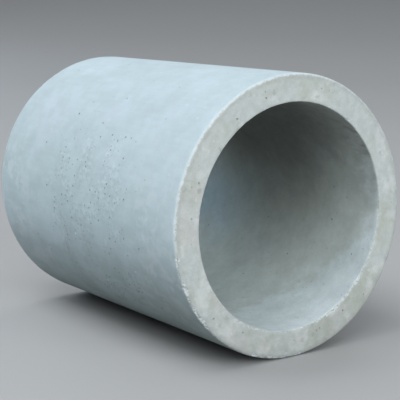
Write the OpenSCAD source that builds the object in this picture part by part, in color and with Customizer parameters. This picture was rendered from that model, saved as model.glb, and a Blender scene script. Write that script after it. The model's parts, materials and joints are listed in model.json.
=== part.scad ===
// Concrete sewer pipe: a short plain-ended pipe, cast in one piece.
// It lies on its side with +Z up. The origin is the middle of the bore, halfway
// along the pipe, and the bore runs along X.

/* [Pipe] */
// Diameter of the bore, which is the pipe's nominal size
bore_d = 800; // [300:10:1500]
// Thickness of the wall
wall_t = 100; // [40:5:200]
// Length from one end face to the other
pipe_len = 1250; // [500:10:3000]

/* [Rounded arrises] */
// Radius where the barrel turns into an end face
outer_arris_r = 10; // [2:0.5:18]
// Radius where the bore turns into an end face
inner_arris_r = 5; // [2:0.5:18]

/* [Hidden] */

bore_r = bore_d / 2;
outer_r = bore_r + wall_t;
half_len = pipe_len / 2;

// Sides of the turned barrel and bore
turned_fn = 180;
// Sides of the small circle that rounds an arris
arris_fn = 48;

concrete_grey = [0.72, 0.75, 0.76];

// The wall cut lengthwise: its radius along X and the pipe's axis along Y.
// The flat sides stop where the rounded arrises begin, and a circle fills each corner.
module wall_section() {
    inner_centre = bore_r + inner_arris_r;
    outer_centre = outer_r - outer_arris_r;
    bore_end = half_len - inner_arris_r;
    barrel_end = half_len - outer_arris_r;
    polygon([
        [bore_r, -bore_end],
        [inner_centre, -half_len],
        [outer_centre, -half_len],
        [outer_r, -barrel_end],
        [outer_r, barrel_end],
        [outer_centre, half_len],
        [inner_centre, half_len],
        [bore_r, bore_end],
    ]);
    for (side = [-1, 1]) {
        translate([inner_centre, side * bore_end])
            circle(r = inner_arris_r, $fn = arris_fn);
        translate([outer_centre, side * barrel_end])
            circle(r = outer_arris_r, $fn = arris_fn);
    }
}

// The whole pipe: the section turned about its axis, then laid down on the barrel.
module pipe() {
    color(concrete_grey)
        rotate([0, 90, 0])
            rotate_extrude($fn = turned_fn)
                wall_section();
}

pipe();
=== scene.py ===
"""Concrete sewer pipe: the looks of one cast pipe that lies on a plain studio floor.

The pipe is one closed skin. Its outline is followed once round the wall by a distance s, and turned
about the bore's axis by an angle. Lengths are in metres and angles in radians unless a name says more.
"""

import json
import math

import bpy
import numpy as np
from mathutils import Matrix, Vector


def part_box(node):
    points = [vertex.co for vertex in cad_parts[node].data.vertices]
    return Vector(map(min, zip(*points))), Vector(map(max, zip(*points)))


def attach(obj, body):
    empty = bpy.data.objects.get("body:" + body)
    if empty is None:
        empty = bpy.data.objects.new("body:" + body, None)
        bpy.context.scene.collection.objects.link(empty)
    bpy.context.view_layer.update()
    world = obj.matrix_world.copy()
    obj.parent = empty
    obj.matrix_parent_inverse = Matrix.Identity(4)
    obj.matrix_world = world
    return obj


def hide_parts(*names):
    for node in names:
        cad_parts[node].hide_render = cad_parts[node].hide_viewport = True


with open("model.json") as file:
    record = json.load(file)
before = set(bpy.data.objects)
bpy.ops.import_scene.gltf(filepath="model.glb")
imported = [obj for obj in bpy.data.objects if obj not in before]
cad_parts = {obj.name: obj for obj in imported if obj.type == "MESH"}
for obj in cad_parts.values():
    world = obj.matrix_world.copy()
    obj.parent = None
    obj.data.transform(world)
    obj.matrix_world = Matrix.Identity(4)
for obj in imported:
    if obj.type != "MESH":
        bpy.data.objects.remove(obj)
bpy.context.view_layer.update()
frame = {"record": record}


# ---------------------------------------------------------------- sizes

MM = 0.001

low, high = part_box("pipe")
mounts = {mount["name"]: mount["dims"] for mount in frame["record"]["mounts"]}

PIPE_LENGTH = high.x - low.x
BORE_R = mounts["bore"]["r_mm"] * MM
BARREL_R = mounts["barrel"]["r_mm"] * MM
INNER_ARRIS_R = (PIPE_LENGTH - mounts["bore"]["length_mm"] * MM) / 2
OUTER_ARRIS_R = (PIPE_LENGTH - mounts["barrel"]["length_mm"] * MM) / 2
HALF_LENGTH = PIPE_LENGTH / 2

# The lengths of the outline's stretches, from the barrel's middle to the bore's middle.
BARREL_RUN = HALF_LENGTH - OUTER_ARRIS_R
OUTER_ARC = OUTER_ARRIS_R * math.pi / 2
FACE_RUN = BARREL_R - BORE_R - OUTER_ARRIS_R - INNER_ARRIS_R
INNER_ARC = INNER_ARRIS_R * math.pi / 2
BORE_RUN = HALF_LENGTH - INNER_ARRIS_R
FACE_START = BARREL_RUN + OUTER_ARC
BORE_START = FACE_START + FACE_RUN + INNER_ARC
HALF_OUTLINE = BORE_START + BORE_RUN
OUTER_ARRIS_S = BARREL_RUN + OUTER_ARC / 2
INNER_ARRIS_S = BORE_START - INNER_ARC / 2


# ---------------------------------------------------------------- camera and light

CAMERA_HEADING = -34.92      # from +X towards +Y, in degrees
CAMERA_CLIMB = 9.56          # above level, in degrees
CAMERA_AWAY = 9.347          # from the pipe's middle, in barrel radii
AIM_ASIDE = 0.0727           # how far right of the middle it aims, in barrel radii
AIM_BELOW = 0.0513           # and how far below it
CAMERA_LENS = 108.7          # in millimetres, on a sensor 36 wide


def direction(heading, climb):
    """The unit direction at a heading from +X towards +Y and a climb above level, in degrees."""
    heading, climb = math.radians(heading), math.radians(climb)
    level = math.cos(climb)
    return Vector((level * math.cos(heading), level * math.sin(heading), math.sin(climb)))


def place_camera():
    """Stands back from the pipe's middle by a number of barrel radii, and aims a little beside it."""
    back = direction(CAMERA_HEADING, CAMERA_CLIMB)
    right = back.cross(Vector((0, 0, -1))).normalized()
    up = back.cross(right)
    eye = back * CAMERA_AWAY * BARREL_R
    aim = (right * AIM_ASIDE - up * AIM_BELOW) * BARREL_R
    data = bpy.data.cameras.new("studio_camera")
    data.sensor_width = 36
    data.lens = CAMERA_LENS
    camera = bpy.data.objects.new("studio_camera", data)
    camera.location = eye
    camera.rotation_euler = (aim - eye).to_track_quat("-Z", "Y").to_euler()
    bpy.context.scene.collection.objects.link(camera)
    bpy.context.scene.camera = camera


PANEL_AWAY = 12.0            # from the pipe's middle to each light panel
PANEL_WIDTH = 6.8
DAYLIGHT = (0.96, 0.985, 1.0)
BLUE_DAYLIGHT = (0.80, 0.93, 1.08)
# Each panel's heading and climb as a direction, its power in watts, and its colour.
PANELS = {
    "front_left_panel": (315, 40, 490, DAYLIGHT),
    "front_right_panel": (0, 15, 810, DAYLIGHT),
    "side_panel": (225, 40, 175, DAYLIGHT),
    "overhead_panel": (270, 65, 550, DAYLIGHT),
    "back_panel": (180, 25, 240, BLUE_DAYLIGHT),
    "far_side_panel": (125, 40, 230, DAYLIGHT),
}
ROOM_COLOUR = (0.95, 0.98, 1.0)
ROOM_LIGHT = 0.28


def light_studio():
    """A dim even room, and six broad panels that face the pipe's middle."""
    world = bpy.data.worlds.new("studio_room")
    world.use_nodes = True
    room = world.node_tree.nodes["Background"]
    room.inputs["Color"].default_value = (*ROOM_COLOUR, 1)
    room.inputs["Strength"].default_value = ROOM_LIGHT
    bpy.context.scene.world = world
    bpy.context.scene.view_settings.view_transform = "Standard"
    for name, (heading, climb, power, colour) in PANELS.items():
        away = direction(heading, climb)
        data = bpy.data.lights.new(name, "AREA")
        data.shape = "SQUARE"
        data.size = PANEL_WIDTH
        data.energy = power
        data.color = colour
        panel = bpy.data.objects.new(name, data)
        panel.location = away * PANEL_AWAY
        panel.rotation_euler = (-away).to_track_quat("-Z", "Y").to_euler()
        bpy.context.scene.collection.objects.link(panel)


# ---------------------------------------------------------------- noise on points


def lattice_noise(points, cell, seed):
    """Smooth noise from -1 to 1: a fixed random number on each corner of a cubic lattice,
    blended across a cell by the curve 6t^5 - 15t^4 + 10t^3 on each axis. The number comes from
    mixing the bits of the corner's three whole coordinates and the seed with large odd factors."""
    place = points / cell
    corner = np.floor(place).astype(np.int64)
    t = place - corner
    ease = t * t * t * (t * (t * 6 - 15) + 10)
    total = np.zeros(len(points))
    for step in np.ndindex(2, 2, 2):
        at = corner + step
        mixed = at[:, 0] * 374761393 + at[:, 1] * 668265263 + at[:, 2] * 1103515245
        mixed = (mixed + seed * 97531) & 0xFFFFFFFF
        mixed = ((mixed ^ (mixed >> 13)) * 1274126177) & 0xFFFFFFFF
        value = (mixed ^ (mixed >> 16)) / 0x7FFFFFFF - 1
        weight = np.where(step, ease, 1 - ease).prod(axis=1)
        total += value * weight
    return total


def layered_noise(points, cell, layers, seed):
    """Lattice noise with finer layers added, each at half the cell and 0.55 of the strength before it."""
    total, strength, whole = 0, 1.0, 0
    for layer in range(layers):
        total = total + strength * lattice_noise(points, cell / 2**layer, seed + layer)
        whole += strength
        strength *= 0.55
    return total / whole


def smooth_step(value, start, end):
    """0 before start, 1 past end, and the curve 3t^2 - 2t^3 between them."""
    t = np.clip((value - start) / (end - start), 0, 1)
    return t * t * (3 - 2 * t)


# ---------------------------------------------------------------- the wall's outline


def fold(s):
    """The place on the front half that matches s: the outline's back half mirrors its front half."""
    s = np.mod(s, 2 * HALF_OUTLINE)
    return np.where(s > HALF_OUTLINE, 2 * HALF_OUTLINE - s, s), s > HALF_OUTLINE


def outline(s):
    """The wall's outline by the distance s along it, as (x, radius, normal x, normal radius).
    It runs forward along the barrel, round a quarter circle, in across the end face, round a
    smaller quarter circle, and back through the bore. The back half is the mirror image."""
    half, mirrored = fold(s)
    outer = np.clip((half - BARREL_RUN) / OUTER_ARRIS_R, 0, math.pi / 2)
    inner = np.clip((half - FACE_START - FACE_RUN) / INNER_ARRIS_R, 0, math.pi / 2)
    turn = outer + inner
    normal_x, normal_r = np.sin(turn), np.cos(turn)
    across = np.clip(half - FACE_START, 0, FACE_RUN)
    along = np.minimum(half, BARREL_RUN) - np.maximum(half - BORE_START, 0)
    x = along + OUTER_ARRIS_R * np.sin(outer) - INNER_ARRIS_R * (1 - np.cos(inner))
    r = BARREL_R - OUTER_ARRIS_R * (1 - np.cos(outer)) - across - INNER_ARRIS_R * np.sin(inner)
    side = np.where(mirrored, -1.0, 1.0)
    return x * side, r, normal_x * side, normal_r


def around(x, r, angle):
    """Points at distance x along the axis and r from it, turned by the angle from +Y towards +Z."""
    return np.stack([x, r * np.cos(angle), r * np.sin(angle)], axis=-1)


# ---------------------------------------------------------------- wear

SKIN_GAP = 0.15 * MM        # the cast skin stays this far inside the true outline
SWELL = 0.9 * MM            # slow hollows of the mould, on barrel and bore
TROWEL_RIPPLE = 0.8 * MM    # unevenness of the trowelled end faces
ARRIS_WANDER = 1.8 * MM     # how far the arris line wanders
WANDER_REACH = {"outer": 9 * MM, "inner": 7 * MM}       # how far from the arris line it is felt
CHIP_DEEP = {"outer": 5.0 * MM, "inner": 4.0 * MM}      # the deepest chips
CHIP_REACH = {"outer": 12 * MM, "inner": 11 * MM}       # how far from the arris line chips go
CHIP_LIMIT = {"outer": 0.40, "inner": 0.36}             # the noise above this chips a sound arris
BATTERING = 0.45            # how far that limit falls where the arris is battered
CHIP_SIZE = 19 * MM         # cell of the noise that makes chips
FLECK_SIZE = 8 * MM         # and of the noise that makes the small ones
FLECK_LESS = 0.10           # how much rarer small chips are than large ones

# Where handling has battered an arris most: the arris, the end (1 is the front), the middle of the
# stretch and half its length, in degrees.
BATTERED = [
    ("outer", 1, 207, 22), ("outer", 1, 262, 14), ("outer", -1, 318, 30), ("outer", -1, 120, 12),
    ("inner", 1, 308, 17), ("inner", 1, 236, 12), ("inner", -1, 70, 20), ("inner", -1, 215, 14),
]
# Single gouges in the front end's outer arris: how far past the arris line towards the face, the angle
# in degrees, the radius and the depth.
GOUGES = [
    (3 * MM, 190, 6.5 * MM, 4.5 * MM), (5 * MM, 200.5, 4 * MM, 2 * MM), (-2 * MM, 212, 5 * MM, 2 * MM),
]
NOTCH_DEEP = 4.5 * MM       # a gouge as deep as this is dark inside, with dirt and painted shade

# How thickly pinholes lie on an end face and in the bore, where 1 is the most that the barrel has.
FACE_PITTING = 0.12
BORE_PITTING = 0.3


def turned_from(angle, degrees):
    """How far round from a place in degrees each angle is, the shorter way, in radians."""
    return (angle - math.radians(degrees) + math.pi) % (2 * math.pi) - math.pi


def battering(arris, angle, end):
    """1 in the middle of an arris's battered stretches, fading to 0 half as far again past their ends."""
    hurt = np.zeros(len(angle))
    for which, at_end, middle, half_width in BATTERED:
        if which == arris:
            off = np.abs((np.degrees(angle) - middle + 180) % 360 - 180)
            here = 1 - smooth_step(off, 0.6 * half_width, 1.5 * half_width)
            hurt = np.maximum(hurt, np.where(end == at_end, here, 0))
    return hurt


def gouging(half, end, angle):
    """The depth of the single gouges: each one's depth times e to the minus fourth power of the
    distance from its middle, in its radii."""
    depth = np.zeros(len(angle))
    for inward_by, degrees, radius, deep in GOUGES:
        turned = turned_from(angle, degrees) * BARREL_R
        off = np.hypot(half - OUTER_ARRIS_S - inward_by, turned)
        depth = np.maximum(depth, np.where(end == 1, deep * np.exp(-((off / radius) ** 4)), 0))
    return depth


def chipping(points, half, end, angle):
    """How far chips have gone, from 0 to 1, how deep, and how far a dark notch has: layered noise above
    a limit that rises away from the arris and falls along its battered stretches. Gouges are chips too."""
    amount = np.zeros(len(points))
    depth = np.zeros(len(points))
    for arris, at in (("outer", OUTER_ARRIS_S), ("inner", INNER_ARRIS_S)):
        away = np.abs(half - at) / CHIP_REACH[arris]
        near = away < 1.5
        hurt = battering(arris, angle[near], end[near])
        rough = layered_noise(points[near], CHIP_SIZE, 4, 40)
        flecks = layered_noise(points[near], FLECK_SIZE, 2, 50) - FLECK_LESS
        rough = np.maximum(rough, flecks)
        limit = CHIP_LIMIT[arris] - BATTERING * hurt + 0.6 * away[near] ** 1.5
        chip = np.clip((rough - limit) * 4.0, 0, 1)
        amount[near] = chip
        depth[near] = chip * CHIP_DEEP[arris]
    gouged = gouging(half, end, angle)
    notch = smooth_step(gouged, 0.7 * NOTCH_DEEP, NOTCH_DEEP)
    return np.maximum(amount, np.clip(gouged / (2 * MM), 0, 1)), np.maximum(depth, gouged), notch


def worn_surface(s, angle):
    """The skin's points at s and angle, with the masks that its finish needs. Each point sinks along
    the outline's normal by the skin gap, the slow swell, the trowel ripple, the arris's wander and
    the chips there, so the skin never stands outside the true outline."""
    x, r, normal_x, normal_r = outline(s)
    sound = around(x, r, angle)
    half, mirrored = fold(s)
    end = np.where(mirrored, -1, 1)
    in_bore = smooth_step(half, BORE_START - INNER_ARC, BORE_START)
    on_face = smooth_step(half, BARREL_RUN, FACE_START) - in_bore
    near_outer = np.exp(-(((half - OUTER_ARRIS_S) / WANDER_REACH["outer"]) ** 2))
    near_inner = np.exp(-(((half - INNER_ARRIS_S) / WANDER_REACH["inner"]) ** 2))
    swell = 0.5 + 0.5 * layered_noise(sound, 240 * MM, 3, 10)
    ripple = 0.5 + 0.5 * layered_noise(sound, 45 * MM, 3, 20)
    wander = 0.5 + 0.5 * layered_noise(sound, 38 * MM, 3, 30)
    chip, chip_depth, notch = chipping(sound, half, end, angle)
    sunk = (
        SKIN_GAP
        + SWELL * swell * (1 - on_face)
        + TROWEL_RIPPLE * ripple * on_face
        + ARRIS_WANDER * wander * (near_outer + near_inner)
        + chip_depth
    )
    skin = around(x - sunk * normal_x, r - sunk * normal_r, angle)
    barrel_pitting = hole_crowding(x, angle) * (1 - on_face) * (1 - in_bore)
    masks = {
        "run": half,
        "chip": chip,
        "notch": notch,
        "blowhole": np.zeros(len(s)),
        "lime": np.zeros(len(s)),
        "pitted": barrel_pitting + FACE_PITTING * on_face + BORE_PITTING * in_bore,
    }
    return skin, masks


def inward(s, angle):
    """The unit direction from the skin into the concrete."""
    _, _, normal_x, normal_r = outline(s)
    return -around(normal_x, normal_r, angle)


# ---------------------------------------------------------------- rows of points

PLAIN_COLUMNS = 320      # points round a plain row
# Points round a row near an arris, a whole number of times the plain.
ARRIS_COLUMNS = {"outer": 960, "inner": 640}
BARREL_STEPS = 36        # plain rows from the barrel's middle to its arris band, an even number
BORE_STEPS = 26          # plain rows from the bore's middle to its arris band, an even number
FACE_STEPS = 4           # plain rows across an end face, an even number
BARREL_BAND = 24 * MM    # how far an arris band reaches along the barrel
BORE_BAND = 0.6 * BARREL_BAND
FACE_BAND = 12 * MM      # how far either band reaches across the face
SEAM_STEP = 7 * MM       # the row that joins plain columns to arris columns


def lay_rows():
    """The rows of the skin, as arrays: the distance s of each, how many points it has, and its step
    number within a plain run, or -1 in an arris band. The outer band has four rows on the barrel, six
    round the arris and three on the face, and the inner one has three, four and three."""
    barrel = np.linspace(0, BARREL_RUN - BARREL_BAND - SEAM_STEP, BARREL_STEPS + 1)
    face = np.linspace(
        FACE_START + FACE_BAND + SEAM_STEP, FACE_START + FACE_RUN - FACE_BAND - SEAM_STEP, FACE_STEPS + 1
    )
    bore = np.linspace(HALF_OUTLINE, BORE_START + BORE_BAND + SEAM_STEP, BORE_STEPS + 1)[::-1]
    outer_band = np.concatenate([
        np.linspace(BARREL_RUN - BARREL_BAND, BARREL_RUN, 5)[:-1],
        np.linspace(BARREL_RUN, FACE_START, 6),
        np.linspace(FACE_START, FACE_START + FACE_BAND, 4)[1:],
    ])
    inner_band = np.concatenate([
        np.linspace(FACE_START + FACE_RUN - FACE_BAND, FACE_START + FACE_RUN, 4)[:-1],
        np.linspace(FACE_START + FACE_RUN, BORE_START, 4),
        np.linspace(BORE_START, BORE_START + BORE_BAND, 4)[1:],
    ])
    runs = [
        (barrel, PLAIN_COLUMNS, np.arange(len(barrel))),
        (outer_band, ARRIS_COLUMNS["outer"], np.full(len(outer_band), -1)),
        (face, PLAIN_COLUMNS, np.arange(len(face))),
        (inner_band, ARRIS_COLUMNS["inner"], np.full(len(inner_band), -1)),
        (bore, PLAIN_COLUMNS, np.arange(len(bore))[::-1]),
    ]
    s = np.concatenate([run[0] for run in runs])
    count = np.concatenate([np.full(len(run[0]), run[1]) for run in runs])
    step = np.concatenate([run[2] for run in runs])
    s = np.concatenate([s, 2 * HALF_OUTLINE - s[-2:0:-1]])
    count = np.concatenate([count, count[-2:0:-1]])
    step = np.concatenate([step, step[-2:0:-1]])
    return s, count, step


def row_cells(count, first):
    """The four-sided cells between neighbouring rows of one count, with their row and column. The
    outline is closed, so the last row meets the first one."""
    after = np.roll(np.arange(len(count)), -1)
    even = np.nonzero(count == count[after])[0]
    row = np.repeat(even, count[even])
    column = np.concatenate([np.arange(count[i]) for i in even])
    beside = (column + 1) % count[row]
    here, next_row = first[row], first[after[row]]
    return np.stack([here + column, here + beside, next_row + beside, next_row + column], axis=1), row, column


def seam_triangles(count, first):
    """The triangles that join a plain row to an arris row with several points to each plain column:
    the first half of those points go to the column's first end, the others to its second end, and
    one triangle more stands on both ends."""
    after = np.roll(np.arange(len(count)), -1)
    made = []
    for row in np.nonzero(count != count[after])[0]:
        plain, fine = (row, after[row]) if count[row] < count[after[row]] else (after[row], row)
        parts = count[fine] // count[plain]
        middle = (parts + 1) // 2
        column = np.arange(count[plain])
        ends = first[plain] + column, first[plain] + (column + 1) % count[plain]
        points = [first[fine] + (parts * column + i) % count[fine] for i in range(parts + 1)]
        fan = [np.stack([ends[int(i >= middle)], points[i + 1], points[i]], axis=1) for i in range(parts)]
        fan = np.concatenate(fan + [np.stack([ends[0], ends[1], points[middle]], axis=1)])
        made.append(fan if plain == row else fan[:, ::-1])
    return np.concatenate(made)


# ---------------------------------------------------------------- blowholes

BLOWHOLES = {"barrel": 340, "face": 8, "bore": 40}    # how many, on barrel, each face and bore
SMALL_HOLE = 2.4 * MM       # usual radius
LARGEST_BY_CHANCE = 3.6 * MM
HOLE_SPREAD = 0.33          # how widely the radius varies, as the spread of its logarithm
LIME_HOLLOW = 0.15          # a hole filled with lime is this share as deep as an open one
HOLE_SEED = 870

# Holes that stand out, by the side they are on: the distance from the axis on a face, or along it from
# the middle, in mm, then the angle in degrees and the radius in mm.
FRONT_FACE_HOLES = [
    (425, 125, 5.5), (425, 106, 4.0), (465, 76, 3.8), (474, 106, 3.0), (440, 159, 4.0), (462, 221, 4.2),
    (428, 240, 3.8), (431, 271, 3.2), (425, 285, 3.6), (424, 303, 4.4), (459, 316, 3.6),
]
BARREL_HOLES = [(-190, 140, 5.5)]
BORE_HOLES = [
    (394, 347, 4.0), (410, 5, 3.4), (300, 10, 3.0), (130, 1, 3.8), (10, 341, 3.6), (190, 323, 3.4),
    (460, 2, 3.0),
]
# Drops of lime on the barrel, in the same way.
LIME_DROPS = [(-38, 193, 4.2), (70, 212, 3.8), (330, 201, 3.0), (-120, 25, 4.0), (210, 338, 3.5)]


def hole_crowding(x, angle):
    """How thickly blowholes lie on the barrel: in clumps along the middle of one flank, where air was
    trapped against the mould, thinner low on the other flank, and a few all round. Both flanks fade
    out as a bell shape does."""
    degrees = np.degrees(angle)
    clumps = smooth_step(layered_noise(around(x, BARREL_R, angle), 75 * MM, 2, 60), -0.25, 0.35)
    flank = np.exp(-(((degrees - 186) / 39) ** 4)) * np.exp(-(((x - 45 * MM) / (300 * MM)) ** 4))
    other = np.exp(-(((degrees - 330) / 35) ** 2)) * np.exp(-(((x + 200 * MM) / (260 * MM)) ** 2))
    return np.minimum(1.0, 0.008 + (0.15 + 0.85 * clumps) * (flank + 0.3 * other))


def choose_holes(s, step, rng):
    """Which 2 by 2 groups of cells hold a blowhole, as the row and column of each group's middle
    point, the hole's own centre (s, angle), its radius, and whether it is filled with lime. Groups
    have odd step and column numbers, so that no two share a cell. The placed holes come first, each
    in the group nearest to its place, and then those by chance. A radius is at most half of the
    group's half width, and the centre drifts only so far that the darkened ring stays in the group."""
    x, r, normal_x, _ = outline(s)
    row = np.nonzero((step > 0) & (step % 2 == 1))[0]
    before, after = row - 1, (row + 1) % len(s)
    row = row[(step[before] >= 0) & (step[after] >= 0)]
    column = np.arange(1, PLAIN_COLUMNS, 2)
    row, column = (grid.ravel() for grid in np.meshgrid(row, column, indexing="ij"))
    angle = 2 * math.pi * column / PLAIN_COLUMNS
    face = np.abs(normal_x[row]) > 0.5
    bore = ~face & (r[row] < (BARREL_R + BORE_R) / 2)
    barrel = ~face & ~bore
    chance = np.where(barrel, hole_crowding(x[row], angle), 1.0)

    taken, radius = [], []
    placed = (
        [(face & (x[row] > 0), r[row], *hole) for hole in FRONT_FACE_HOLES]
        + [(barrel, x[row], *hole) for hole in BARREL_HOLES]
        + [(bore, x[row], *hole) for hole in BORE_HOLES]
        + [(barrel, x[row], *drop) for drop in LIME_DROPS]
    )
    for side, distance, at, degrees, size in placed:
        turned = np.abs(turned_from(angle, degrees)) * r[row]
        off = np.where(side, np.hypot(distance - at * MM, turned), np.inf)
        taken.append(int(off.argmin()))
        radius.append(size * MM)
    chance[taken] = 0
    chosen = (barrel, BLOWHOLES["barrel"]), (face, 2 * BLOWHOLES["face"]), (bore, BLOWHOLES["bore"])
    for side, number in chosen:
        odds = np.where(side, chance, 0)
        taken.extend(rng.choice(len(row), number, replace=False, p=odds / odds.sum()))
        sizes = SMALL_HOLE * np.exp(HOLE_SPREAD * rng.standard_normal(number))
        radius.extend(np.minimum(sizes, LARGEST_BY_CHANCE))
    order = np.arange(len(taken))
    limed = (order >= len(placed) - len(LIME_DROPS)) & (order < len(placed))
    row, column = row[taken], column[taken]

    half_wide = 2 * math.pi * r[row] / PLAIN_COLUMNS
    half_long = np.minimum(np.abs(s[row] - s[row - 1]), np.abs(s[(row + 1) % len(s)] - s[row]))
    radius = np.minimum(radius, 0.50 * np.minimum(half_wide, half_long))
    drift = rng.uniform(-1, 1, (len(row), 2))
    centre_s = s[row] + drift[:, 0] * (0.95 * half_long - 1.8 * radius)
    centre_angle = 2 * math.pi * column / PLAIN_COLUMNS
    centre_angle = centre_angle + drift[:, 1] * (0.95 * half_wide - 1.8 * radius) / r[row]
    return row, column, centre_s, centre_angle, radius, limed


def sink_holes(skin, masks, s, first, step, rng):
    """Cuts the blowholes: in each group of cells the eight points round it lead to a rim of eight new
    points, a lower ring of eight, and the group's middle point at the bottom. A ring of eight half as
    far out again, level with the skin, bounds the darkening round the rim. The ring radii vary by up
    to a sixth, and a hole is 0.4 to 1.1 times as deep as its radius. The open holes are darkened by
    dirt and painted shade, the small ones of an end face less, and the limed ones are shallow and pale."""
    row, column, centre_s, centre_angle, radius, limed = choose_holes(s, step, rng)
    number = len(row)
    turn = np.arange(8) * math.pi / 4
    to_row = np.array([0, 1, 1, 1, 0, -1, -1, -1])
    to_column = np.array([1, 1, 0, -1, -1, -1, 0, 1])
    edge_row = (row[:, None] + to_row) % len(s)
    edge = first[edge_row] + (column[:, None] + to_column) % PLAIN_COLUMNS

    uneven = 1 + 0.17 * rng.uniform(-1, 1, (number, 8))
    depth = radius * rng.uniform(0.4, 1.1, number) * np.where(limed, LIME_HOLLOW, 1)
    _, wall_r, normal_x, _ = outline(centre_s)
    # On an end face the dirt and painted shade grow from a quarter to the whole as the radius goes
    # from 2.55 to 4.8 mm.
    dirt = np.where(np.abs(normal_x) > 0.5, np.clip(radius / (3 * MM) - 0.6, 0.25, 1), 1) * ~limed
    rings = []
    # Each ring's share of the radius, its share of the depth, and its share of the hole's dirt and
    # painted shade and of its lime.
    for share, sunk, ring_mark in ((1.5, 0.0, 0.0), (1.0, 0.0, 0.35), (0.78, 0.8, 1.0)):
        reach = radius[:, None] * uneven * share
        ring_s = (centre_s[:, None] + reach * np.sin(turn)).ravel()
        ring_angle = (centre_angle[:, None] + reach * np.cos(turn) / wall_r[:, None]).ravel()
        points, found = worn_surface(ring_s, ring_angle)
        points = points + inward(ring_s, ring_angle) * (sunk * np.repeat(depth, 8))[:, None]
        found["blowhole"] = ring_mark * np.repeat(dirt, 8)
        found["lime"] = ring_mark * np.repeat(limed, 8)
        rings.append((points, found))
    bottom, _ = worn_surface(centre_s, centre_angle)
    middle = first[row] + column
    skin[middle] = bottom + inward(centre_s, centre_angle) * depth[:, None]
    masks["blowhole"][middle] = dirt
    masks["lime"][middle] = limed

    lip = len(skin) + np.arange(8 * number).reshape(number, 8)
    rim = lip + 8 * number
    ring = rim + 8 * number
    skin = np.concatenate([skin] + [points for points, _ in rings])
    masks = {
        name: np.concatenate([values] + [found[name] for _, found in rings])
        for name, values in masks.items()
    }

    def band(outside, inside):
        """Four-sided faces between two loops of eight points."""
        beyond = np.roll(outside, -1, axis=1), np.roll(inside, -1, axis=1)
        return np.stack([outside, beyond[0], beyond[1], inside], axis=2).reshape(-1, 4)

    walls = np.concatenate([band(edge, lip), band(lip, rim), band(rim, ring)])
    bottoms = np.repeat(middle[:, None], 8, axis=1)
    floor = np.stack([ring, np.roll(ring, -1, axis=1), bottoms], axis=2).reshape(-1, 3)
    return skin, masks, walls, floor, (row, column), rim


# ---------------------------------------------------------------- the skin's mesh


def cast_skin():
    """The whole pipe as one closed mesh: rows of points round the outline, with cells between them,
    seams where a row has more columns than the next, and blowholes in place of some groups of cells.
    The rims of the blowholes are sharp edges."""
    rng = np.random.default_rng(HOLE_SEED)
    s, count, step = lay_rows()
    first = np.concatenate([[0], np.cumsum(count)[:-1]])
    point_row = np.repeat(np.arange(len(s)), count)
    point_column = np.arange(count.sum()) - first[point_row]
    point_angle = 2 * math.pi * point_column / count[point_row]
    skin, masks = worn_surface(s[point_row], point_angle)

    cells, row, column = row_cells(count, first)
    seams = seam_triangles(count, first)
    skin, masks, walls, floor, middles, rim = sink_holes(skin, masks, s, first, step, rng)

    most = count.max()
    cell_number = row * most + column
    gone = np.concatenate([
        ((middles[0] + back) % len(s)) * most + (middles[1] + aside) % PLAIN_COLUMNS
        for back in (-1, 0) for aside in (-1, 0)
    ])
    cells = cells[~np.isin(cell_number, gone)]

    mesh = bpy.data.meshes.new("pipe_skin")
    faces = cells.tolist() + walls.tolist() + seams.tolist() + floor.tolist()
    mesh.from_pydata(skin.tolist(), [], faces)
    mesh.polygons.foreach_set("use_smooth", np.ones(len(mesh.polygons), bool))
    for name, values in masks.items():
        mesh.attributes.new(name, "FLOAT", "POINT").data.foreach_set("value", values.astype(np.float32))

    rim_of = np.full(len(skin), -1)
    rim_of[rim] = np.arange(len(rim))[:, None]
    ends = np.zeros(2 * len(mesh.edges), np.int32)
    mesh.edges.foreach_get("vertices", ends)
    ends = rim_of[ends.reshape(-1, 2)]
    mesh.edges.foreach_set("use_edge_sharp", (ends[:, 0] >= 0) & (ends[:, 0] == ends[:, 1]))
    mesh.update()
    piece = bpy.data.objects.new("pipe_skin", mesh)
    bpy.context.scene.collection.objects.link(piece)
    return piece


# ---------------------------------------------------------------- finishes


def add_node(tree, kind, inputs=None, **settings):
    """Adds a node, sets it up, and feeds its inputs with sockets or plain values."""
    node = tree.nodes.new(kind)
    for name, value in settings.items():
        setattr(node, name, value)
    for key, value in (inputs or {}).items():
        if isinstance(value, bpy.types.NodeSocket):
            tree.links.new(value, node.inputs[key])
        else:
            node.inputs[key].default_value = value
    return node


def mask(tree, name):
    """A mask that the skin's mesh carries."""
    return add_node(tree, "ShaderNodeAttribute", attribute_name=name).outputs["Fac"]


def axes(tree, at):
    """The place's three coordinates: X along the bore, Y across and Z up."""
    parts = add_node(tree, "ShaderNodeSeparateXYZ", {0: at}).outputs
    return parts["X"], parts["Y"], parts["Z"]


def cloud(tree, at, scale, detail=3.0, roughness=0.55):
    """Cloudy noise, about 0.5 on average."""
    sockets = {"Vector": at, "Scale": scale, "Detail": detail, "Roughness": roughness}
    return add_node(tree, "ShaderNodeTexNoise", sockets).outputs["Fac"]


def drawn_out(tree, at, scale):
    """The place scaled differently along each axis, so that what reads it is drawn out into streaks."""
    return add_node(tree, "ShaderNodeMapping", {"Vector": at, "Scale": scale}).outputs["Vector"]


def scattered(tree, at, scale, draw):
    """Points strewn about, 1/scale apart on average: how far off the nearest one is, in that spacing,
    and its own random number from 0 to 1. It has three such numbers, and draw says which."""
    cells = add_node(tree, "ShaderNodeTexVoronoi", {"Vector": at, "Scale": scale}).outputs
    lots = add_node(tree, "ShaderNodeSeparateColor", {0: cells["Color"]}).outputs
    return cells["Distance"], lots[draw]


def spread(tree, value, start, end, low_out=0.0, high_out=1.0):
    """Start to end of a value becomes low_out to high_out, smoothly, and it goes no further."""
    sockets = {"Value": value, "From Min": start, "From Max": end, "To Min": low_out, "To Max": high_out}
    return add_node(tree, "ShaderNodeMapRange", sockets, interpolation_type="SMOOTHSTEP").outputs["Result"]


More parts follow.
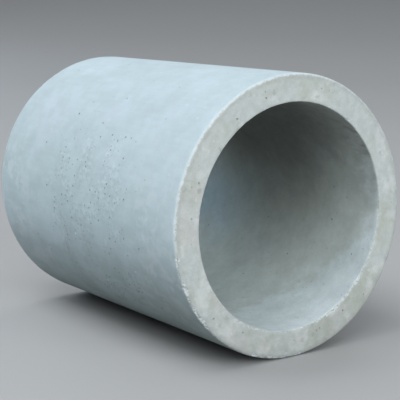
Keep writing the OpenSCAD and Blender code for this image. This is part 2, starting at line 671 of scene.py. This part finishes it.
def work(tree, operation, a, b=0.0):
    """Plain arithmetic on two values."""
    return add_node(tree, "ShaderNodeMath", {0: a, 1: b}, operation=operation).outputs[0]


def times(tree, first, *others):
    """The product of some values."""
    for other in others:
        first = work(tree, "MULTIPLY", first, other)
    return first


def strayed(tree, value, cloudy, reach):
    """The value moved by up to reach either way, as a cloudy one goes from 0.3 to 0.7."""
    return work(tree, "ADD", value, spread(tree, cloudy, 0.3, 0.7, -reach, reach))


def tint(tree, amount, under, over, blend="MIX"):
    """One colour laid over another by an amount."""
    sockets = {0: amount, 6: under, 7: over}
    return add_node(tree, "ShaderNodeMix", sockets, data_type="RGBA", blend_type=blend).outputs[2]


def blended(tree, amount, under, over):
    """One value changed into another by an amount."""
    return add_node(tree, "ShaderNodeMix", {0: amount, 2: under, 3: over}).outputs[0]


def shaded(tree, colour, value, depth):
    """The colour made darker or lighter by up to depth, as the value goes from 0.3 to 0.7."""
    grey = spread(tree, value, 0.3, 0.7, 1 - depth, 1 + depth)
    return add_node(tree, "ShaderNodeVectorMath", {0: colour, "Scale": grey}, operation="SCALE").outputs[0]


def opaque(red, green, blue):
    """A colour with nothing showing through it."""
    return red, green, blue, 1.0


FORMED_PALE = opaque(0.51, 0.63, 0.68)
FORMED_SLATE = opaque(0.465, 0.58, 0.62)
FORMED_LILAC = opaque(0.52, 0.605, 0.68)
LIME_BLOTCH = opaque(0.56, 0.66, 0.71)
LIME_SPECK = opaque(0.66, 0.74, 0.76)
LIME_DROP = opaque(0.68, 0.75, 0.77)
# dirt and painted shade low down on the barrel and end faces
DIRT_AND_UNDERSIDE_SHADE = opaque(0.42, 0.41, 0.375)
FACE_GREY = opaque(0.455, 0.50, 0.49)
FACE_BUFF = opaque(0.42, 0.452, 0.413)
FACE_WHITE = opaque(0.535, 0.565, 0.56)
FACE_ROSE = opaque(0.485, 0.49, 0.485)
FACE_RIM = opaque(0.36, 0.385, 0.375)
FACE_SCUFF = opaque(0.30, 0.315, 0.30)
FACE_FLECK = opaque(0.58, 0.61, 0.60)
BORE_SLATE = opaque(0.386, 0.416, 0.390)
# painted shade for the bore's crown, also the colour of its dark drips
BORE_SHADE_AND_DRIPS = opaque(0.109, 0.114, 0.101)
# painted light near the bore's mouths
BORE_NEAR_MOUTH_LIGHT = opaque(0.468, 0.515, 0.495)
# a thin pale film in the lower bore, partly painted light
BORE_FILM_AND_LOW_LIGHT = opaque(0.645, 0.735, 0.715)
# painted light on the bore's bed, also the colour of the faint pale splashes
BORE_BED_LIGHT_AND_SPLASHES = opaque(0.65, 0.74, 0.76)
# painted light that goes in from each mouth
MOUTH_PAINTED_LIGHT = opaque(0.68, 0.76, 0.80)
# bluish painted light at the bore's back end
FAR_END_BLUE_LIGHT = opaque(0.32, 0.505, 0.63)
# a painted highlight along the outer arris
ARRIS_HIGHLIGHT = opaque(0.64, 0.73, 0.77)
CHIP_PASTE = opaque(0.56, 0.61, 0.61)
CHIP_STONE = opaque(0.34, 0.36, 0.355)
# dirt and painted shade inside the deep gouges
NOTCH_DIRT_AND_SHADE = opaque(0.27, 0.255, 0.24)
# dirt and painted shade in the holes
HOLE_DIRT_AND_SHADE = opaque(0.20, 0.235, 0.245)


def formed_finish(tree, at):
    """The barrel's skin, smooth from a steel mould: pale blue grey in faint clouds, with a lilac cast
    high up, and darker towards the ground it lies on, with dirt and painted shade. Lime mottles it low
    down near its ends and flecks it all over. Streaks run along it, and shallow dimples show where the
    pitted mask is, with painted shade in their hollows and painted light on their rises."""
    x, _, z = axes(tree, at)
    colour = tint(tree, spread(tree, cloud(tree, at, 2.2, 3), 0.3, 0.7), FORMED_SLATE, FORMED_PALE)
    colour = tint(tree, spread(tree, cloud(tree, at, 4.5, 3), 0.5, 0.75, 0, 0.35), colour, FORMED_LILAC)
    colour = tint(tree, spread(tree, z, 0.05, 0.40, 0, 0.3), colour, FORMED_LILAC)
    colour = shaded(tree, colour, cloud(tree, at, 9, 3), 0.03)

    near_end = spread(tree, work(tree, "ABSOLUTE", x), 0.22, 0.50)
    blotches = spread(tree, cloud(tree, at, 17, 4, 0.65), 0.47, 0.59, 0, 0.95)
    blotches = times(tree, blotches, spread(tree, z, 0.30, 0.05, 0.2, 1.0))
    colour = tint(tree, times(tree, near_end, blotches), colour, LIME_BLOTCH)

    streaks = cloud(tree, drawn_out(tree, at, (7, 60, 60)), 1.0, 4)
    colour = shaded(tree, colour, streaks, 0.018)
    colour = shaded(tree, colour, cloud(tree, at, 22, 3, 0.5), 0.022)
    colour = shaded(tree, colour, cloud(tree, at, 110, 3, 0.6), 0.01)

    away, lot = scattered(tree, at, 26.0, 1)
    few = spread(tree, lot, 0.8, 0.84)
    away = strayed(tree, away, cloud(tree, at, 90, 3), 0.06)
    colour = tint(tree, times(tree, few, spread(tree, away, 0.16, 0.05, 0, 0.5)), colour, LIME_SPECK)

    dimples = cloud(tree, at, 62, 2, 0.5)
    rash = spread(tree, mask(tree, "pitted"), 0.08, 0.7)
    # Painted shade in the dimples' hollows and painted light on their rises.
    colour = tint(tree, rash, colour, shaded(tree, colour, dimples, 0.075))

    # The dirt and painted shade reach a little higher towards the front end.
    rise = strayed(tree, z, cloud(tree, at, 6, 4), 0.03)
    rise = work(tree, "SUBTRACT", rise, times(tree, x, 0.06))
    colour = tint(tree, spread(tree, rise, 0.0, -0.5), colour, DIRT_AND_UNDERSIDE_SHADE, "MULTIPLY")

    grain = times(tree, cloud(tree, at, 150, 3, 0.6), 0.2)
    height = work(tree, "ADD", grain, times(tree, streaks, 0.35))
    height = work(tree, "ADD", height, times(tree, rash, times(tree, dimples, 2.8)))
    return colour, height


def spots(tree, at, scale, share, reach, ragged):
    """A share of some scattered points, each a soft spot that fades out at about its reach. The
    ragged value moves its edge."""
    away, lot = scattered(tree, at, scale, 2)
    away = strayed(tree, away, ragged, 0.4 * reach)
    return times(tree, work(tree, "LESS_THAN", lot, share), spread(tree, away, reach, 0.3 * reach))


def trowelled_finish(tree, at, run):
    """The end faces, struck off and trowelled: pale grey in soft buff, rosy and white patches, with
    dark scuffs and pale flecks. They are darker close inside the outer arris, where dirt keeps, and
    towards the ground, with dirt and painted shade."""
    _, _, z = axes(tree, at)
    colour = tint(tree, spread(tree, cloud(tree, at, 7, 3), 0.42, 0.62, 0, 0.9), FACE_GREY, FACE_BUFF)
    colour = tint(tree, spread(tree, cloud(tree, at, 4.2, 3), 0.50, 0.64, 0, 0.7), colour, FACE_ROSE)
    colour = tint(tree, spread(tree, cloud(tree, at, 10, 4, 0.6), 0.48, 0.64, 0, 0.9), colour, FACE_WHITE)
    inside = work(tree, "SUBTRACT", run, FACE_START + 3 * MM)
    inside = strayed(tree, inside, cloud(tree, at, 30, 4, 0.6), 7 * MM)
    colour = tint(tree, spread(tree, inside, 16 * MM, 0.0, 0, 0.45), colour, FACE_RIM)
    scuffs = spots(tree, at, 17.0, 0.75, 0.20, cloud(tree, at, 60, 3))
    scuffs = times(tree, scuffs, spread(tree, z, -0.10, 0.30, 0.38, 0.62))
    colour = tint(tree, scuffs, colour, FACE_SCUFF)
    flecks = spots(tree, at, 21.0, 0.25, 0.16, cloud(tree, at, 75, 3))
    colour = tint(tree, times(tree, flecks, 0.6), colour, FACE_FLECK)
    colour = shaded(tree, colour, cloud(tree, at, 34, 5, 0.65), 0.07)
    colour = shaded(tree, colour, cloud(tree, at, 190, 4, 0.7), 0.05)
    # Dirt and painted shade: darker towards the ground.
    colour = tint(tree, spread(tree, z, -0.15, -0.50, 0, 0.24), colour, DIRT_AND_UNDERSIDE_SHADE, "MULTIPLY")
    return colour, times(tree, cloud(tree, at, 110, 5, 0.7), 1.2)


def bore_finish(tree, at, run):
    """The bore: slate grey, with painted shade over its crown above a line that rises from the
    middle towards both mouths as the square of the distance. Near the mouths painted light makes it
    paler, up to a little above the axis. Lower down it is paler, partly from a thin pale film and
    partly from painted light, and painted light lies along its bed, up to a line that rises as the
    cube of the distance. The back end has bluish painted light about the height of the axis. Bluish
    white painted light goes in from each mouth and thins out in rags, with dark drips higher up, and
    faint pale splashes lie below them."""
    x, _, z = axes(tree, at)
    clouds = cloud(tree, at, 5, 4)
    rise = strayed(tree, z, clouds, 0.035)
    ragged = strayed(tree, rise, cloud(tree, at, 22, 4, 0.6), 0.035)
    along = work(tree, "ABSOLUTE", x)
    squared = times(tree, along, along)

    # Painted shade: the crown darkens above a line that rises towards the mouths.
    crown_shade = work(tree, "SUBTRACT", rise, times(tree, squared, 0.95))
    colour = tint(tree, spread(tree, crown_shade, -0.21, 0.25), BORE_SLATE, BORE_SHADE_AND_DRIPS)
    # Painted light: paler near the mouths, up to a little above the axis.
    near_mouth_light = times(tree, spread(tree, along, 0.22, 0.52, 0, 0.5), spread(tree, ragged, 0.22, 0.10))
    colour = tint(tree, near_mouth_light, colour, BORE_NEAR_MOUTH_LIGHT)
    # Partly a thin pale film and partly painted light: the lower bore is paler.
    film = work(tree, "SUBTRACT", rise, times(tree, squared, 0.55))
    colour = tint(tree, spread(tree, film, -0.02, -0.38, 0, 0.66), colour, BORE_FILM_AND_LOW_LIGHT)
    # Painted light along the bed, up to a line that rises as the cube of the distance.
    bed_light_line = work(tree, "SUBTRACT", ragged, times(tree, squared, along, 1.8))
    colour = tint(tree, spread(tree, bed_light_line, -0.40, -0.48), colour, BORE_BED_LIGHT_AND_SPLASHES)

    # Bluish painted light at the back end, about the height of the axis.
    far = times(tree, spread(tree, x, 0.05, -0.45, 0, 0.55), spread(tree, rise, 0.14, -0.12))
    far = times(tree, far, spread(tree, rise, -0.33, -0.15))
    colour = tint(tree, far, colour, FAR_END_BLUE_LIGHT)

    rags = cloud(tree, drawn_out(tree, at, (12, 24, 24)), 1.0, 4, 0.6)
    inside = strayed(tree, work(tree, "SUBTRACT", run, BORE_START), rags, 65 * MM)
    # Painted light from each mouth, on the lower bore, thinning out in rags.
    mouth_light = times(tree, spread(tree, inside, 120 * MM, 5 * MM), spread(tree, z, 0.36, 0.0))
    colour = tint(tree, times(tree, mouth_light, 0.52), colour, MOUTH_PAINTED_LIGHT)
    drips = spread(tree, cloud(tree, drawn_out(tree, at, (10, 34, 34)), 1.0, 4, 0.65), 0.50, 0.62, 0, 0.45)
    drips = times(tree, drips, spread(tree, z, 0.02, 0.22), spread(tree, inside, 170 * MM, 0.0))
    colour = tint(tree, drips, colour, BORE_SHADE_AND_DRIPS)
    splashes = spots(tree, at, 17.0, 0.30, 0.36, cloud(tree, at, 55, 3))
    splashes = times(tree, splashes, spread(tree, z, 0.20, 0.05), 0.07)
    colour = tint(tree, splashes, colour, BORE_BED_LIGHT_AND_SPLASHES)

    colour = shaded(tree, colour, clouds, 0.08)
    colour = shaded(tree, colour, cloud(tree, at, 13, 2, 0.5), 0.05)
    colour = shaded(tree, colour, cloud(tree, at, 42, 2, 0.45), 0.03)
    colour = shaded(tree, colour, cloud(tree, at, 130, 3, 0.6), 0.03)
    return colour, times(tree, cloud(tree, at, 70, 3, 0.5), 0.3)


def chipped_finish(tree, at):
    """Broken concrete: pale paste with darker stones in it."""
    stones = add_node(tree, "ShaderNodeTexVoronoi", {"Vector": at, "Scale": 120.0}).outputs["Distance"]
    colour = tint(tree, spread(tree, stones, 0.2, 0.42), CHIP_STONE, CHIP_PASTE)
    return colour, times(tree, cloud(tree, at, 220, 4, 0.7), 1.6)


def pinholes(tree, at, scale, share, reach):
    """Little round holes: scattered points that the pitted mask keeps, each dark out to a reach."""
    away, lot = scattered(tree, at, scale, 0)
    kept = work(tree, "LESS_THAN", lot, times(tree, mask(tree, "pitted"), share))
    return times(tree, kept, spread(tree, away, reach, reach * 0.5))


def laid_over(tree, amount, under, over):
    """One finish, as its colour and height, laid over another by an amount."""
    return tint(tree, amount, under[0], over[0]), blended(tree, amount, under[1], over[1])


def cast_concrete():
    """One concrete for the whole skin. The run that the mesh carries, the distance along the wall's
    outline, says which finish shows where: each one gives way to the next at an arris, along a line
    that strays. The outer arris carries a painted highlight, most of all high up. The mesh's other
    masks add chips, notches, holes and lime."""
    material = bpy.data.materials.new("cast_concrete")
    material.use_nodes = True
    tree = material.node_tree
    shader = tree.nodes["Principled BSDF"]
    at = add_node(tree, "ShaderNodeTexCoord").outputs["Object"]
    _, _, z = axes(tree, at)
    run = mask(tree, "run")
    stray_run = strayed(tree, run, cloud(tree, at, 75, 4, 0.7), 4 * MM)

    on_face = spread(tree, stray_run, OUTER_ARRIS_S - 6 * MM, OUTER_ARRIS_S - 1 * MM)
    finish = laid_over(tree, on_face, formed_finish(tree, at), trowelled_finish(tree, at, run))
    # Painted highlight: the outer arris is paler, most of all high up.
    arris_highlight = times(
        tree,
        spread(tree, stray_run, OUTER_ARRIS_S - 9 * MM, OUTER_ARRIS_S - 3 * MM),
        spread(tree, stray_run, OUTER_ARRIS_S + 7 * MM, OUTER_ARRIS_S + 1 * MM),
        spread(tree, z, -0.20, 0.05, 0.0, 0.55),
    )
    finish = tint(tree, arris_highlight, finish[0], ARRIS_HIGHLIGHT), finish[1]
    in_bore = spread(tree, stray_run, INNER_ARRIS_S - 1 * MM, INNER_ARRIS_S + 4 * MM)
    colour, height = laid_over(tree, in_bore, finish, bore_finish(tree, at, run))

    chip = mask(tree, "chip")
    broken_colour, broken_height = chipped_finish(tree, at)
    colour = tint(tree, spread(tree, chip, 0.05, 0.35), colour, broken_colour)
    # Dirt and painted shade inside the deep gouges.
    colour = tint(tree, mask(tree, "notch"), colour, NOTCH_DIRT_AND_SHADE)
    height = blended(tree, chip, height, broken_height)

    pits = work(tree, "MAXIMUM", pinholes(tree, at, 50.0, 0.5, 0.17), pinholes(tree, at, 95.0, 0.6, 0.20))
    # Dirt and painted shade in the blowholes and pinholes.
    dark = work(tree, "MAXIMUM", times(tree, mask(tree, "blowhole"), 0.85), times(tree, pits, 0.5))
    colour = tint(tree, dark, colour, HOLE_DIRT_AND_SHADE)
    colour = tint(tree, mask(tree, "lime"), colour, LIME_DROP)
    height = work(tree, "SUBTRACT", height, times(tree, pits, 1.5))

    bump = add_node(tree, "ShaderNodeBump", {"Height": height, "Distance": 1.0 * MM, "Strength": 0.7})
    tree.links.new(colour, shader.inputs["Base Color"])
    tree.links.new(spread(tree, cloud(tree, at, 30, 3), 0.3, 0.7, 0.74, 0.92), shader.inputs["Roughness"])
    tree.links.new(bump.outputs["Normal"], shader.inputs["Normal"])
    return material


# ---------------------------------------------------------------- the studio floor

DISC_REACH = 3.0         # the radius of the floor's middle disc
FLOOR_REACH = 8.0        # the flat floor's radius
FLOOR_SIDES = 96
SWEEP_RINGS = 13
SWEEP_RISE = 18.0        # height of the wall that the floor sweeps up into
FLOOR_TONE = (0.42, 0.425, 0.43)


def lay_floor():
    """A plain pale floor, level with the pipe's lowest line. It is round, a disc in the middle and
    rings round it, and its rim sweeps up in a quarter circle all round, as a studio backdrop does."""
    turn = np.linspace(0, math.pi / 2, SWEEP_RINGS)
    radius = np.concatenate([[DISC_REACH], FLOOR_REACH + SWEEP_RISE * np.sin(turn)])
    height = np.concatenate([[0.0], SWEEP_RISE * (1 - np.cos(turn))])
    angle = 2 * math.pi * np.arange(FLOOR_SIDES) / FLOOR_SIDES
    points = np.stack([
        np.outer(radius, np.cos(angle)),
        np.outer(radius, np.sin(angle)),
        np.repeat(low.z + height, FLOOR_SIDES).reshape(-1, FLOOR_SIDES),
    ], axis=2).reshape(-1, 3)
    ring, column = np.divmod(np.arange((len(radius) - 1) * FLOOR_SIDES), FLOOR_SIDES)
    a = ring * FLOOR_SIDES + column
    b = ring * FLOOR_SIDES + (column + 1) % FLOOR_SIDES
    quads = np.stack([a, a + FLOOR_SIDES, b + FLOOR_SIDES, b], axis=1)
    mesh = bpy.data.meshes.new("studio_floor")
    mesh.from_pydata(points.tolist(), [], [list(range(FLOOR_SIDES))] + quads.tolist())
    mesh.polygons.foreach_set("use_smooth", np.ones(len(mesh.polygons), bool))
    material = bpy.data.materials.new("studio_floor")
    material.use_nodes = True
    shader = material.node_tree.nodes["Principled BSDF"]
    shader.inputs["Base Color"].default_value = (*FLOOR_TONE, 1)
    shader.inputs["Roughness"].default_value = 0.9
    mesh.materials.append(material)
    floor = bpy.data.objects.new("studio_floor", mesh)
    bpy.context.scene.collection.objects.link(floor)


# ---------------------------------------------------------------- the scene

place_camera()
light_studio()
lay_floor()

pipe_skin = cast_skin()
pipe_skin.data.materials.append(cast_concrete())
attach(pipe_skin, "root")
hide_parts("pipe")
